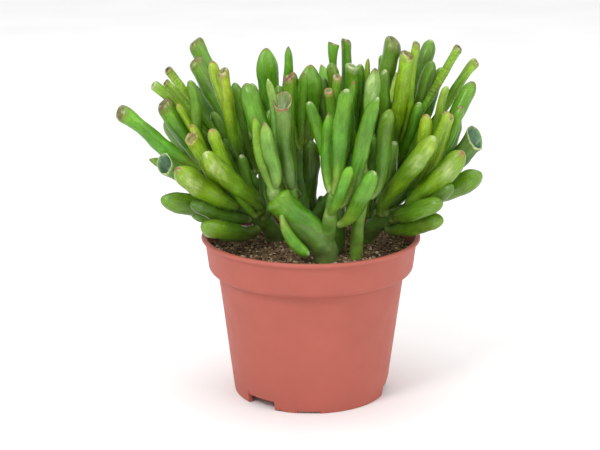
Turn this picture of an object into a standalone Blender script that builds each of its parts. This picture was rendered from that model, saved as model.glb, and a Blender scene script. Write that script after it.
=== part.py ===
"""Finger-leaved jade plant growing in a round plastic nursery pot.

Metres, +Z up. The origin is on the pot's axis, on the plane that the pot's foot stands on.
The plant's tables are in millimetres from the middle of the soil's surface.
"""
import math

import bmesh
import bpy
import numpy as np
from mathutils import Matrix

MM = 0.001

# Driving dimensions
RIM_RADIUS = 60.0 * MM         # over the rolled lip
POT_HEIGHT = 89.0 * MM
FOOT_RADIUS = 42.6 * MM
BAND_HEIGHT = 20.0 * MM        # the deep band under the lip, with its shoulder
WALL = 1.2 * MM
SOIL_BELOW_LIP = 8.0 * MM
CROWN_WIDTH = 200.0 * MM       # leaf tip to leaf tip, side to side
CROWN_HEIGHT = 115.0 * MM      # soil to the highest leaf tip
LEAF_GIRTH = 1.0               # all leaves thicker or thinner

# Pot details
LIP_OVERHANG = 2.0 * MM        # lip beyond the band
LIP_DEPTH = 2.2 * MM
BAND_TAPER = 1.6 * MM          # the band narrows by this much towards its lower edge
BAND_STEP = 5.2 * MM           # band beyond the body, at the shoulder
SHOULDER_DEPTH = 4.2 * MM
FOOT_WALL = 2.2 * MM           # thickness of the foot ring
FOOT_ROUND = 0.8 * MM          # rounding of the foot's outer edge
PAD_RADIUS = 25.0 * MM         # flat middle of the floor, which stands on the ground
CHANNEL_HEIGHT = 5.2 * MM      # raised drainage channel between the flat middle and the foot
CHANNEL_SLANT = 1.8 * MM       # lean of the channel's inner side
FLOOR_FILLET = 1.5 * MM        # between the channel's floor and the wall, inside
BODY_EDGE = 1.5 * MM           # rounding where the body meets the band
LIP_NECK = 0.8 * MM            # slant under the lip
POT_SEGMENTS = 48
NOTCH_COUNT = 3
NOTCH_ANGLE = 25.0             # degrees of the foot that one drainage notch takes
NOTCH_FIRST = -40.0            # degrees from the front, towards +X
NOTCH_HEIGHT = 5.0 * MM        # up to the channel's ceiling, or less
NOTCH_REACH = 5.0 * MM         # how far a notch cutter passes the foot ring
NICK_ANGLE = 17.0
NICK_FIRST = -2.0
NICK_HEIGHT = 0.9 * MM

FOOT_CUTS = (
    ("notch", NOTCH_FIRST, NOTCH_ANGLE, min(NOTCH_HEIGHT, CHANNEL_HEIGHT - 0.2 * MM)),
    ("nick", NICK_FIRST, NICK_ANGLE, NICK_HEIGHT),
)

# Soil and plant details
GAP = 0.3 * MM                 # between pieces that touch
SOIL_DOME = 1.6 * MM
ROOT_DEPTH = 12.0 * MM         # how far each stem goes into the soil
TABLE_WIDTH = 200.0 * MM       # crown width at which the tables below are written
TABLE_HEIGHT = 115.0 * MM
LEAF_GAP = 0.55 * MM           # kept between neighbouring leaves
LEAF_SIDES_RESOLUTION = 2
STEM_SIDES_RESOLUTION = 3
BUD_LENGTH = 0.7               # rounded growing end of a branch, as shares of its radius
BUD_RADIUS = 0.6
LEAF_START_SHARE = 0.22        # how far a leaf keeps its first direction, as a share of its length
LEAF_MIDDLE_SHARE = 0.62       # where its sag is set
LEAF_FREE_FROM = 0.18          # nearer its foot than this a leaf may lie against the wood
LEAF_FOOT_SHARE = 0.5          # radius of its foot, as a share of its girth
LEAF_SAMPLES = 25
RIM_CLEARANCE = 14.0 * MM      # nearer the rim than this a leaf stays above the lip
RELAX_STEPS = 240
THINNEST_SHARE = 0.45

# Where the rings of a leaf lie along it, and its radius there as a share of its girth
FINGER = ((0.0, 0.48), (0.05, 0.58), (0.20, 0.80), (0.42, 0.97),
          (0.66, 1.0), (0.85, 0.93), (0.95, 0.72), (1.0, 0.38))
CUP = ((0.0, 0.50), (0.05, 0.60), (0.20, 0.78), (0.45, 0.90),
       (0.70, 0.88), (0.88, 0.88), (0.96, 1.0), (1.0, 0.96))
SPOON = ((0.0, 0.38), (0.05, 0.44), (0.20, 0.58), (0.45, 0.82),
         (0.68, 1.0), (0.84, 0.94), (0.95, 0.62), (1.0, 0.30))

# Each stem: its branches, each a line of (x, y, height above the soil, radius)
STEMS = {
    "stem_front": {
        "front_trunk": ((8, -27, -12, 6.6), (8, -27, 3, 6.8), (6, -28, 9, 7.0), (3, -28, 15, 6.2)),
        "front_left": ((5, -28, 10, 6.0), (-4, -29, 19, 6.8), (-12, -30, 28, 6.2), (-18, -31, 36, 4.8),
                       (-21, -31, 43, 2.8)),
        "front_inner": ((-5, -29, 19, 4.6), (-9, -28, 29, 4.0), (-10, -26, 40, 2.6)),
        "front_right": ((6, -28, 9, 5.2), (9, -30, 18, 4.6), (10, -33, 27, 4.0), (11, -34, 38, 2.6)),
    },
    "stem_side": {
        "side_trunk": ((24, -22, -12, 3.6), (24, -22, 3, 3.6), (25, -23, 17, 3.6), (27, -24, 34, 3.2),
                       (29, -22, 48, 2.4)),
    },
    "stem_left": {
        "left_trunk": ((-20, 9, -12, 5.2), (-20, 9, 3, 5.2), (-23, 5, 10, 5.0), (-27, 0, 17, 4.2)),
        "left_low": ((-23, 4, 11, 4.2), (-30, -2, 18, 4.0), (-38, -5, 23, 3.6), (-48, -4, 32, 3.2),
                     (-57, -2, 45, 2.4)),
        "left_high": ((-23, 5, 9, 4.2), (-28, 9, 22, 3.9), (-32, 12, 34, 3.6), (-40, 14, 46, 3.2),
                      (-48, 15, 58, 2.4)),
    },
    "stem_right": {
        "right_trunk": ((30, 7, -12, 5.2), (30, 7, 3, 5.2), (34, 3, 10, 5.0), (39, -1, 16, 4.2)),
        "right_low": ((34, 3, 9, 4.2), (41, -3, 16, 4.0), (50, -7, 22, 3.6), (59, -6, 32, 3.2),
                      (66, -3, 45, 2.4)),
        "right_high": ((33, 4, 9, 4.2), (38, 9, 22, 3.8), (43, 13, 36, 3.5), (47, 14, 48, 3.1),
                       (54, 15, 60, 2.4)),
    },
    "stem_centre": {
        "centre_trunk": ((-4, 2, -12, 4.8), (-4, 2, 3, 4.8), (-5, 2, 18, 4.6), (-5, 3, 34, 4.2),
                         (-5, 4, 46, 3.4), (-5, 4, 54, 2.4)),
        "centre_right": ((-3, 2, 10, 3.8), (5, -1, 21, 3.6), (13, -3, 33, 3.2), (16, -5, 48, 2.3)),
    },
    "stem_back_left": {
        "back_left": ((-11, 25, -12, 4.6), (-11, 25, 3, 4.6), (-11, 26, 20, 4.2), (-13, 27, 38, 3.7),
                      (-14, 28, 50, 3.0), (-14, 28, 60, 2.3)),
        "back_left_out": ((-11, 25, 14, 3.8), (-19, 30, 27, 3.5), (-27, 33, 41, 3.0), (-31, 34, 53, 2.3)),
    },
    "stem_back_right": {
        "back_right": ((16, 23, -12, 4.6), (16, 23, 3, 4.6), (17, 24, 20, 4.2), (20, 24, 38, 3.7),
                       (21, 24, 54, 3.0), (21, 24, 64, 2.3)),
        "back_right_out": ((17, 24, 14, 3.8), (26, 28, 30, 3.5), (34, 28, 46, 3.0), (39, 27, 60, 2.3)),
    },
}

# Each leaf: branch, how far along it the leaf grows, tip (x, y, height), largest radius, sag, outline
LEAVES = {
    "leaf_left_1": ("left_low", 0.22, (-55, -38, 62), 5.2, 4, FINGER),
    "leaf_left_2": ("left_low", 0.55, (-70, -36, 53), 5.6, 3, FINGER),
    "leaf_left_3": ("left_low", 0.66, (-80, -20, 33), 4.8, 3, FINGER),
    "leaf_left_4": ("left_trunk", 0.86, (-57, -38, 25), 5.0, 3, FINGER),
    "leaf_left_5": ("left_low", 0.80, (-78, -16, 50), 5.0, 2, CUP),
    "leaf_left_6": ("left_low", 0.99, (-102, -2, 75), 4.5, -3, CUP),
    "leaf_left_7": ("left_low", 0.88, (-80, 8, 79), 4.6, 2, FINGER),
    "leaf_left_8": ("left_high", 0.97, (-86, 14, 88), 2.6, -2, CUP),
    "leaf_left_9": ("left_high", 0.99, (-76, 6, 98), 2.8, 1, CUP),
    "leaf_left_10": ("left_low", 0.70, (-63, -22, 66), 4.1, 2, CUP),
    "leaf_left_11": ("left_high", 0.90, (-61, 28, 99), 3.8, 2, CUP),
    "leaf_left_12": ("left_high", 0.78, (-53, 2, 103), 3.6, 2, CUP),
    "leaf_left_13": ("left_high", 0.45, (-74, 34, 60), 4.6, -3, FINGER),
    "leaf_middle_1": ("front_left", 0.96, (-34, -20, 95), 5.2, 2, FINGER),
    "leaf_middle_2": ("front_left", 0.90, (-24, -43, 79), 3.8, 1, FINGER),
    "leaf_middle_3": ("front_inner", 0.97, (-15, -28, 87), 3.9, 1, CUP),
    "leaf_middle_4": ("back_left", 0.93, (-26, 36, 104), 5.0, 2, SPOON),
    "leaf_middle_5": ("back_left", 0.99, (-13, 20, 108), 2.8, 1, CUP),
    "leaf_middle_6": ("centre_trunk", 0.99, (-12, -2, 95), 3.2, 1, CUP),
    "leaf_middle_7": ("centre_trunk", 0.90, (-1, 14, 98), 5.3, 2, SPOON),
    "leaf_middle_8": ("front_right", 0.99, (9, -28, 81), 3.4, 1, CUP),
    "leaf_middle_9": ("back_right", 0.88, (8, 30, 107), 2.9, 1, CUP),
    "leaf_middle_10": ("back_right", 0.98, (20, 36, 111), 2.9, 1, CUP),
    "leaf_middle_11": ("centre_right", 0.99, (14, -5, 96), 3.0, 1, CUP),
    "leaf_middle_12": ("front_right", 0.92, (18, -42, 96), 4.2, -2, FINGER),
    "leaf_middle_13": ("side_trunk", 0.97, (33, -20, 103), 4.7, 2, FINGER),
    "leaf_middle_14": ("front_right", 0.75, (34, -44, 92), 3.9, -4, FINGER),
    "leaf_middle_15": ("side_trunk", 0.72, (41, -26, 82), 3.8, -3, FINGER),
    "leaf_middle_16": ("front_right", 0.42, (31, -50, 56), 4.2, -4, FINGER),
    "leaf_right_1": ("right_low", 0.22, (63, -36, 70), 5.4, 4, FINGER),
    "leaf_right_2": ("right_low", 0.55, (78, -36, 61), 5.6, 3, FINGER),
    "leaf_right_3": ("right_low", 0.72, (90, -20, 44), 4.8, 2, FINGER),
    "leaf_right_4": ("right_low", 0.38, (69, -36, 37), 4.5, -4, FINGER),
    "leaf_right_5": ("right_trunk", 0.90, (66, -32, 22), 4.2, 2, FINGER),
    "leaf_right_6": ("right_low", 0.94, (87, -8, 63), 5.4, 2, CUP),
    "leaf_right_7": ("right_low", 0.99, (86, 8, 90), 3.8, -2, CUP),
    "leaf_right_8": ("right_high", 0.97, (89, 18, 101), 2.6, -2, CUP),
    "leaf_right_9": ("right_high", 0.99, (79, 10, 109), 2.9, 1, CUP),
    "leaf_right_10": ("right_low", 0.84, (60, -22, 79), 3.8, 2, CUP),
    "leaf_right_11": ("right_high", 0.92, (65, 32, 109), 3.9, 2, FINGER),
    "leaf_right_12": ("right_high", 0.80, (51, 0, 109), 3.9, 2, CUP),
    "leaf_right_13": ("back_right_out", 0.97, (43, 12, 114), 4.8, 2, CUP),
    "leaf_right_14": ("right_high", 0.45, (78, 38, 64), 4.6, -3, FINGER),
    "leaf_back_1": ("back_left_out", 0.97, (-64, 44, 107), 3.8, 2, CUP),
    "leaf_back_2": ("back_left_out", 0.66, (-50, 62, 72), 4.6, 3, FINGER),
    "leaf_back_3": ("back_left_out", 0.22, (-34, 66, 42), 4.6, -5, FINGER),
    "leaf_back_4": ("back_left", 0.60, (-12, 68, 74), 4.8, 3, FINGER),
    "leaf_back_5": ("back_right", 0.55, (14, 70, 60), 4.8, 3, CUP),
    "leaf_back_6": ("back_right", 0.80, (6, 56, 92), 4.2, 2, FINGER),
    "leaf_back_7": ("back_right_out", 0.40, (42, 66, 50), 4.8, 3, FINGER),
    "leaf_back_8": ("back_right_out", 0.82, (50, 56, 86), 4.3, 2, CUP),
}

SPREAD = CROWN_WIDTH / TABLE_WIDTH
RISE = CROWN_HEIGHT / TABLE_HEIGHT
SOIL_LEVEL = POT_HEIGHT - SOIL_BELOW_LIP


def clear_scene():
    for obj in list(bpy.data.objects):
        bpy.data.objects.remove(obj, do_unlink=True)


def new_collection(name):
    collection = bpy.data.collections.new(name)
    bpy.context.scene.collection.children.link(collection)
    return collection


def plain_material(name, colour, roughness):
    material = bpy.data.materials.new(name)
    material.use_nodes = True
    shader = material.node_tree.nodes["Principled BSDF"]
    shader.inputs["Base Color"].default_value = (*colour, 1.0)
    shader.inputs["Roughness"].default_value = roughness
    shader.inputs["Metallic"].default_value = 0.0
    return material


def add_object(name, mesh, collection, material=None):
    obj = bpy.data.objects.new(name, mesh)
    collection.objects.link(obj)
    if material:
        mesh.materials.append(material)
    return obj


# Turned pieces

def arc(centre_r, centre_z, radius, start, stop, count):
    """Points on a circle in the profile's plane, from one angle in degrees to another."""
    angles = np.radians(np.linspace(start, stop, count))
    return [(centre_r + radius * math.cos(a), centre_z + radius * math.sin(a)) for a in angles]


def turned(name, profile, collection, material, closed):
    """A profile in the XZ plane turned about Z."""
    mesh = bpy.data.meshes.new(name)
    edges = [(i, i + 1) for i in range(len(profile) - 1)]
    if closed:
        edges.append((len(profile) - 1, 0))
    mesh.from_pydata([(r, 0.0, z) for r, z in profile], edges, [])
    obj = add_object(name, mesh, collection, material)
    screw = obj.modifiers.new("Turn", "SCREW")
    screw.steps = POT_SEGMENTS
    screw.render_steps = POT_SEGMENTS
    screw.use_merge_vertices = True
    screw.merge_threshold = 0.00005
    return obj


def band_radii():
    """Outer radius of the band at its top, at its lower edge, and of the body under it."""
    top = RIM_RADIUS - LIP_OVERHANG
    low = top - BAND_TAPER
    return top, low, low - BAND_STEP


def wall_radius(z):
    """Outer radius of the body's slanted wall."""
    body_top = band_radii()[2]
    share = z / (POT_HEIGHT - BAND_HEIGHT)
    return FOOT_RADIUS + (body_top - FOOT_RADIUS) * share


def inner_outline():
    """The pot's inner side from the middle of the floor up to the lip."""
    band_top, band_low, body_top = band_radii()
    step_z = POT_HEIGHT - BAND_HEIGHT
    floor_z = CHANNEL_HEIGHT + WALL
    lip_under = POT_HEIGHT - LIP_DEPTH
    return [
        (0.0, WALL),
        (PAD_RADIUS - WALL / 2, WALL),
        (PAD_RADIUS + CHANNEL_SLANT - WALL / 2, floor_z),
        (wall_radius(floor_z) - WALL - FLOOR_FILLET, floor_z),
        (wall_radius(floor_z) - WALL, floor_z + FLOOR_FILLET),
        (body_top - WALL, step_z + WALL * 0.6),
        (band_low - WALL - 1.6 * MM, step_z + WALL * 1.2),
        (band_low - WALL, step_z + SHOULDER_DEPTH),
        (band_top - WALL, lip_under),
    ]


def pot_outline():
    """The pot's whole section: down its outside, under the floor and up its inside."""
    band_top, band_low, body_top = band_radii()
    step_z = POT_HEIGHT - BAND_HEIGHT
    lip_r = RIM_RADIUS - LIP_DEPTH / 2
    lip_z = POT_HEIGHT - LIP_DEPTH / 2
    outline = arc(lip_r, lip_z, LIP_DEPTH / 2, 100, -70, 5)
    outline += [(band_top, POT_HEIGHT - LIP_DEPTH - LIP_NECK), (band_low, step_z + SHOULDER_DEPTH)]
    outline += arc(band_low - SHOULDER_DEPTH, step_z + SHOULDER_DEPTH, SHOULDER_DEPTH, -30, -80, 3)
    outline += [(body_top + BODY_EDGE * 0.2, step_z - BODY_EDGE * 0.1)]
    outline += [(wall_radius(step_z - BODY_EDGE), step_z - BODY_EDGE)]
    outline += arc(FOOT_RADIUS - FOOT_ROUND, FOOT_ROUND, FOOT_ROUND, 0, -90, 3)
    foot_inner = FOOT_RADIUS - FOOT_WALL
    outline += [(foot_inner, 0.0), (foot_inner, CHANNEL_HEIGHT)]
    outline += [(PAD_RADIUS + CHANNEL_SLANT, CHANNEL_HEIGHT), (PAD_RADIUS, 0.0), (0.0, 0.0)]
    outline += inner_outline()
    outline.append((band_top - WALL / 2, POT_HEIGHT - LIP_DEPTH * 0.1))
    return outline


def arc_cutter(name, centre, angle, height, collection):
    """A wedge that cuts a notch of this height out of the foot ring."""
    inner = FOOT_RADIUS - NOTCH_REACH
    outer = FOOT_RADIUS + NOTCH_REACH
    angles = np.radians(np.linspace(centre - angle / 2, centre + angle / 2, 4))
    ring = [(inner * math.sin(a), -inner * math.cos(a)) for a in angles]
    ring += [(outer * math.sin(a), -outer * math.cos(a)) for a in reversed(angles)]
    mesh = bpy.data.meshes.new(name)
    shape = bmesh.new()
    face = shape.faces.new([shape.verts.new((x, y, -NOTCH_REACH)) for x, y in ring])
    raised = bmesh.ops.extrude_face_region(shape, geom=[face])
    top = [v for v in raised["geom"] if isinstance(v, bmesh.types.BMVert)]
    bmesh.ops.translate(shape, verts=top, vec=(0.0, 0.0, NOTCH_REACH + height))
    bmesh.ops.recalc_face_normals(shape, faces=shape.faces)
    shape.to_mesh(mesh)
    shape.free()
    return add_cutter(name, mesh, collection)


def add_cutter(name, mesh, collection):
    cutter = add_object(name, mesh, collection)
    cutter.hide_render = True
    cutter.display_type = "WIRE"
    return cutter


def cut(obj, cutter):
    modifier = obj.modifiers.new(cutter.name, "BOOLEAN")
    modifier.operation = "DIFFERENCE"
    modifier.object = cutter


def build_pot(collection, cutters, material):
    pot = turned("pot", pot_outline(), collection, material, closed=True)
    for index in range(NOTCH_COUNT):
        turn = index * 360.0 / NOTCH_COUNT
        for kind, first, angle, height in FOOT_CUTS:
            cut(pot, arc_cutter(f"{kind}_cutter_{index + 1}", first + turn, angle, height, cutters))
    return pot


def soil_outline():
    """The soil's section: down its outer side, a little inside the pot, and across its bottom."""
    inside = inner_outline()
    band_low, band_top = inside[-2:]
    share = (SOIL_LEVEL - band_low[1]) / (band_top[1] - band_low[1])
    edge_r = band_low[0] + (band_top[0] - band_low[0]) * share
    dome = [(edge_r * f - GAP, SOIL_LEVEL + SOIL_DOME * (1 - f * f)) for f in (0.35, 0.7, 1.0)]
    lower = [(r - GAP, z + GAP) for r, z in reversed(inside[1:-1])]
    return [(0.0, SOIL_LEVEL + SOIL_DOME)] + dome + lower + [(0.0, inside[0][1] + GAP)]


def build_soil(collection, cutters, material):
    soil = turned("soil", soil_outline(), collection, material, closed=False)
    for stem, branches in STEMS.items():
        buried, risen = next(iter(branches.values()))[:2]
        x, y = buried[:2]
        mesh = bpy.data.meshes.new(f"{stem}_hole")
        shape = bmesh.new()
        place = Matrix.Translation((x * MM * SPREAD, y * MM * SPREAD, SOIL_LEVEL))
        hole_radius = max(buried[3], risen[3]) * MM + GAP
        bmesh.ops.create_cone(shape, cap_ends=True, segments=16, radius1=hole_radius, radius2=hole_radius,
                              depth=2 * (ROOT_DEPTH + GAP), matrix=place)
        shape.to_mesh(mesh)
        shape.free()
        cut(soil, add_cutter(f"{stem}_hole", mesh, cutters))
    return soil


# The plant's geometry, worked out before its meshes are made

def place(x, y, height):
    """A table position as a point in metres."""
    return np.array([x * MM * SPREAD, y * MM * SPREAD, SOIL_LEVEL + height * MM * RISE])


def branch_path(points, count):
    """A Catmull-Rom path through a branch's rows, read at equal steps. A buried span is straight."""
    rows = np.array(points, dtype=float)
    ends = np.vstack([2 * rows[0] - rows[1], rows, 2 * rows[-1] - rows[-2]])
    spans = len(rows) - 1
    result = []
    for u in np.linspace(0, spans, count):
        i = min(int(u), spans - 1)
        t = u - i
        a, b, c, d = ends[i:i + 4]
        if b[2] < SOIL_LEVEL:
            result.append(b + (c - b) * t)
            continue
        result.append(0.5 * (2 * b + (c - a) * t + (2 * a - 5 * b + 4 * c - d) * t * t
                             + (3 * b - 3 * c + d - a) * t ** 3))
    return np.array(result)


def branch_rows(rows):
    """A branch's table rows as (x, y, z, radius) in metres; the buried end keeps its depth."""
    result = []
    for x, y, height, radius in rows:
        point = place(x, y, height)
        if height < 0:
            point[2] = SOIL_LEVEL - ROOT_DEPTH
        result.append((*point, radius * MM))
    return result


def all_branches():
    return {name: branch_rows(rows) for stem in STEMS.values() for name, rows in stem.items()}


def bezier(control, t):
    """Points of a cubic curve at the parameters t."""
    t = np.asarray(t)[:, None]
    return ((1 - t) ** 3 * control[0] + 3 * (1 - t) ** 2 * t * control[1]
            + 3 * (1 - t) * t ** 2 * control[2] + t ** 3 * control[3])


def unit(vector):
    return vector / np.linalg.norm(vector)


def ring_points(centre, axis, radius):
    """The centre of a leaf's foot and eight points around its edge."""
    side = unit(np.cross(axis, (0.3, 0.5, 0.8)))
    other = np.cross(axis, side)
    angles = np.arange(8) * math.pi / 4
    edge = [centre + radius * (math.cos(a) * side + math.sin(a) * other) for a in angles]
    return np.array([centre] + edge)


def seat_leaf(rows, along, tip, girth, balls):
    """Where a leaf starts, just clear of the wood, and the direction it starts in."""
    dense = branch_path(rows, 81)[:, :3]
    index = min(int(along * 80), 79)
    point = dense[index]
    axis = unit(dense[index + 1] - dense[max(index - 1, 0)])
    reach = unit(tip - point)
    outward = reach - axis * np.dot(reach, axis)
    if np.linalg.norm(outward) > 0.12:
        outward = unit(outward)
    else:
        outward = unit(reach - 0.9 * axis)
    start = unit(0.55 * outward + 0.6 * reach)
    step = 0.1 * MM
    centre = point.copy()
    for _ in range(200):
        foot = ring_points(centre, start, girth * LEAF_FOOT_SHARE)
        away = np.linalg.norm(foot[:, None] - balls[None, :, :3], axis=2) - balls[None, :, 3]
        if away.min() > GAP:
            break
        centre = centre + start * step
    return centre, start


def leaf_curve(seat, start, tip, sag):
    """The control points of a leaf's centre line."""
    length = np.linalg.norm(tip - seat)
    side = np.cross(unit(tip - seat), (0.0, 0.0, 1.0))
    lift = unit(np.cross(side, unit(tip - seat)))
    second = seat + start * LEAF_START_SHARE * length
    third = seat + (tip - seat) * LEAF_MIDDLE_SHARE - lift * sag * MM
    return np.array([seat, second, third, tip])


class Leaf:
    """One leaf: its centre line, girth and outline."""

    def __init__(self, name, row, branches, balls):
        branch, along, tip, girth, sag, outline = row
        self.name = name
        self.girth = girth * MM * LEAF_GIRTH
        self.outline = np.array(outline)
        target = place(*tip)
        seat, start = seat_leaf(branches[branch], along, target, self.girth, balls)
        self.control = leaf_curve(seat, start, target, sag)
        self.t = np.linspace(0, 1, LEAF_SAMPLES)

    def centres(self):
        return bezier(self.control, self.t)

    def radii(self):
        return self.girth * np.interp(self.t, self.outline[:, 0], self.outline[:, 1])

    def rings(self):
        """The rings that the mesh is made from, as (x, y, z, radius)."""
        centres = bezier(self.control, self.outline[:, 0])
        return np.column_stack([centres, self.girth * self.outline[:, 1]])

    def push(self, shifts):
        """Move the free half of the centre line by what its samples ask for."""
        t = self.t[:, None]
        third_weight = 3 * (1 - t) * t ** 2
        tip_weight = t ** 3
        busy = max(1.0, np.count_nonzero(np.linalg.norm(shifts, axis=1) > 1e-7) * 0.35)
        self.control[2] += (third_weight * shifts).sum(axis=0) * 1.1 / busy
        self.control[3] += (tip_weight * shifts).sum(axis=0) * 0.9 / busy


def wood_balls(branches):
    """The stems as rows of balls (x, y, z, radius), close enough to act as their surface."""
    rows = []
    for line in branches.values():
        length = sum(np.linalg.norm(np.subtract(a[:3], b[:3])) for a, b in zip(line, line[1:]))
        rows.append(branch_path(line, int(length / MM)))
    return np.vstack(rows)


def separate_leaves(leaves, balls):
    """Bend neighbouring leaves away from each other, from the wood and from the pot's lip."""
    owner = np.repeat(np.arange(len(leaves)), LEAF_SAMPLES)
    share = np.tile(leaves[0].t, len(leaves))
    other_leaf = owner[:, None] != owner[None, :]
    radii = np.concatenate([leaf.radii() for leaf in leaves])
    near_foot = share < LEAF_FREE_FROM
    for _ in range(RELAX_STEPS):
        centres = np.concatenate([leaf.centres() for leaf in leaves])
        shifts = np.zeros_like(centres)
        between = centres[:, None] - centres[None, :]
        distance = np.linalg.norm(between, axis=2) + 1e-9
        short = radii[:, None] + radii[None, :] + LEAF_GAP * 1.3 - distance
        short = np.where(other_leaf & (short > 0), short, 0.0)
        shifts += (between / distance[:, :, None] * short[:, :, None]).sum(axis=1) * 0.25
        between = centres[:, None] - balls[None, :, :3]
        distance = np.linalg.norm(between, axis=2) + 1e-9
        short = radii[:, None] + balls[None, :, 3] + LEAF_GAP * 1.3 - distance
        short = np.where((short > 0) & ~near_foot[:, None], short, 0.0)
        shifts += (between / distance[:, :, None] * short[:, :, None]).sum(axis=1) * 0.12
        from_axis = np.linalg.norm(centres[:, :2], axis=1)
        over_rim = from_axis > RIM_RADIUS - RIM_CLEARANCE
        floor = np.where(over_rim, POT_HEIGHT, SOIL_LEVEL + SOIL_DOME) + radii + MM
        shifts[:, 2] += np.maximum(floor - centres[:, 2], 0.0) * 0.5
        for index, leaf in enumerate(leaves):
            leaf.push(shifts[owner == index])


def thin_leaves(leaves, balls):
    """Where a gap is still too small, make both leaves beside it a little thinner."""
    centres = [leaf.centres() for leaf in leaves]
    radii = [leaf.radii() for leaf in leaves]
    shares = np.ones(len(leaves))
    for i, leaf in enumerate(leaves):
        for j in range(len(leaves)):
            if i == j:
                continue
            distance = np.linalg.norm(centres[i][:, None] - centres[j][None, :], axis=2) - LEAF_GAP
            shares[i] = min(shares[i], (distance / (radii[i][:, None] + radii[j][None, :])).min())
        outer = leaf.t > LEAF_FREE_FROM
        room = np.linalg.norm(centres[i][outer][:, None] - balls[None, :, :3], axis=2)
        room = room - balls[None, :, 3] - GAP
        shares[i] = min(shares[i], (room / radii[i][outer][:, None]).min())
    for leaf, share in zip(leaves, shares):
        if share < 1.0:
            print(f"thinned {leaf.name} to {share:.2f}")
        leaf.girth *= max(share, THINNEST_SHARE)


def grow_leaves(branches):
    balls = wood_balls(branches)
    leaves = [Leaf(name, row, branches, balls) for name, row in LEAVES.items()]
    separate_leaves(leaves, balls)
    thin_leaves(leaves, balls)
    return leaves


# The plant's meshes

def tube_mesh(name, rings, resolution):
    """A round tube through rings (x, y, z, radius), with closed ends, as a mesh."""
    curve = bpy.data.curves.new(name, "CURVE")
    curve.dimensions = "3D"
    curve.bevel_depth = 1.0
    curve.bevel_resolution = resolution
    curve.use_fill_caps = True
    spline = curve.splines.new("POLY")
    spline.points.add(len(rings) - 1)
    for point, (x, y, z, radius) in zip(spline.points, rings):
        point.co = (x, y, z, 1.0)
        point.radius = radius
    source = bpy.data.objects.new(name, curve)
    bpy.context.scene.collection.objects.link(source)
    depsgraph = bpy.context.evaluated_depsgraph_get()
    mesh = bpy.data.meshes.new_from_object(source.evaluated_get(depsgraph))
    mesh.name = name
    bpy.data.objects.remove(source, do_unlink=True)
    bpy.data.curves.remove(curve)
    shape = bmesh.new()
    shape.from_mesh(mesh)
    bmesh.ops.remove_doubles(shape, verts=shape.verts, dist=0.00001)
    bmesh.ops.recalc_face_normals(shape, faces=shape.faces)
    shape.to_mesh(mesh)
    shape.free()
    mesh.shade_smooth()
    mesh.set_sharp_from_angle(angle=math.radians(50))
    return mesh


def stem_rings(rows):
    """A branch's rings, with one more that rounds its growing end."""
    rings = branch_path(branch_rows(rows), 2 * len(rows))
    end = rings[-1]
    ahead = unit(end[:3] - rings[-2][:3])
    cap = (*(end[:3] + ahead * end[3] * BUD_LENGTH), end[3] * BUD_RADIUS)
    return np.vstack([rings, cap])


def build_stem(name, branches, collection, cutters, material):
    """One stem: its trunk with its branches joined on."""
    stem = None
    for branch, rows in branches.items():
        rings = stem_rings(rows)
        if stem is None:
            stem = add_object(name, tube_mesh(name, rings, STEM_SIDES_RESOLUTION), collection, material)
            continue
        arm = add_cutter(branch, tube_mesh(branch, rings, STEM_SIDES_RESOLUTION), cutters)
        joint = stem.modifiers.new(branch, "BOOLEAN")
        joint.operation = "UNION"
        joint.object = arm
    return stem


def build_leaf(leaf, collection, material):
    mesh = tube_mesh(leaf.name, leaf.rings(), LEAF_SIDES_RESOLUTION)
    return add_object(leaf.name, mesh, collection, material)


def main():
    clear_scene()
    parts = new_collection("potted_jade_plant")
    cutters = new_collection("cutters")
    terracotta = plain_material("terracotta_plastic", (0.55, 0.16, 0.12), 0.55)
    peat = plain_material("peat_soil", (0.035, 0.02, 0.012), 0.95)
    wood = plain_material("green_stem", (0.16, 0.27, 0.07), 0.5)
    green = plain_material("leaf_green", (0.12, 0.33, 0.03), 0.35)
    build_pot(parts, cutters, terracotta)
    build_soil(parts, cutters, peat)
    for name, branches in STEMS.items():
        build_stem(name, branches, parts, cutters, wood)
    for leaf in grow_leaves(all_branches()):
        build_leaf(leaf, parts, green)


main()
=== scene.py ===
"""Looks of the potted jade plant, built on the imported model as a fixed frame. Metres, +Z up."""
import math
import random

import bmesh
import bpy
import numpy as np
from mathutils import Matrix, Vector, noise


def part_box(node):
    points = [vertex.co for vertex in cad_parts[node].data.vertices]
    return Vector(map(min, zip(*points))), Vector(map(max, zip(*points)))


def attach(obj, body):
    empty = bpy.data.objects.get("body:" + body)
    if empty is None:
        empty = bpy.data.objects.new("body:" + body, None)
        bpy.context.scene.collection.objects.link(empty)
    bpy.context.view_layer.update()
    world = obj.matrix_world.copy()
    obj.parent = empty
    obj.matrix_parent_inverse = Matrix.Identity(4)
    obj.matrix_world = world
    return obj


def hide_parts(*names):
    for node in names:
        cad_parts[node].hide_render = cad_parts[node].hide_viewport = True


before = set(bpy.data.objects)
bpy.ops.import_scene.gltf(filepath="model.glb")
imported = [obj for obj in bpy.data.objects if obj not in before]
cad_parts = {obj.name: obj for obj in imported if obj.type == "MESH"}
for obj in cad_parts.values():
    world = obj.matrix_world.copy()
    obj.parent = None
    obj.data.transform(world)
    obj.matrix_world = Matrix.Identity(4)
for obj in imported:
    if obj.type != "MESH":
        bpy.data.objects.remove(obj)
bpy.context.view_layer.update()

MM = 0.001
POT_LOW, POT_HIGH = [np.array(corner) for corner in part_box("pot")]
SOIL_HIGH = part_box("soil")[1][2]

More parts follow.
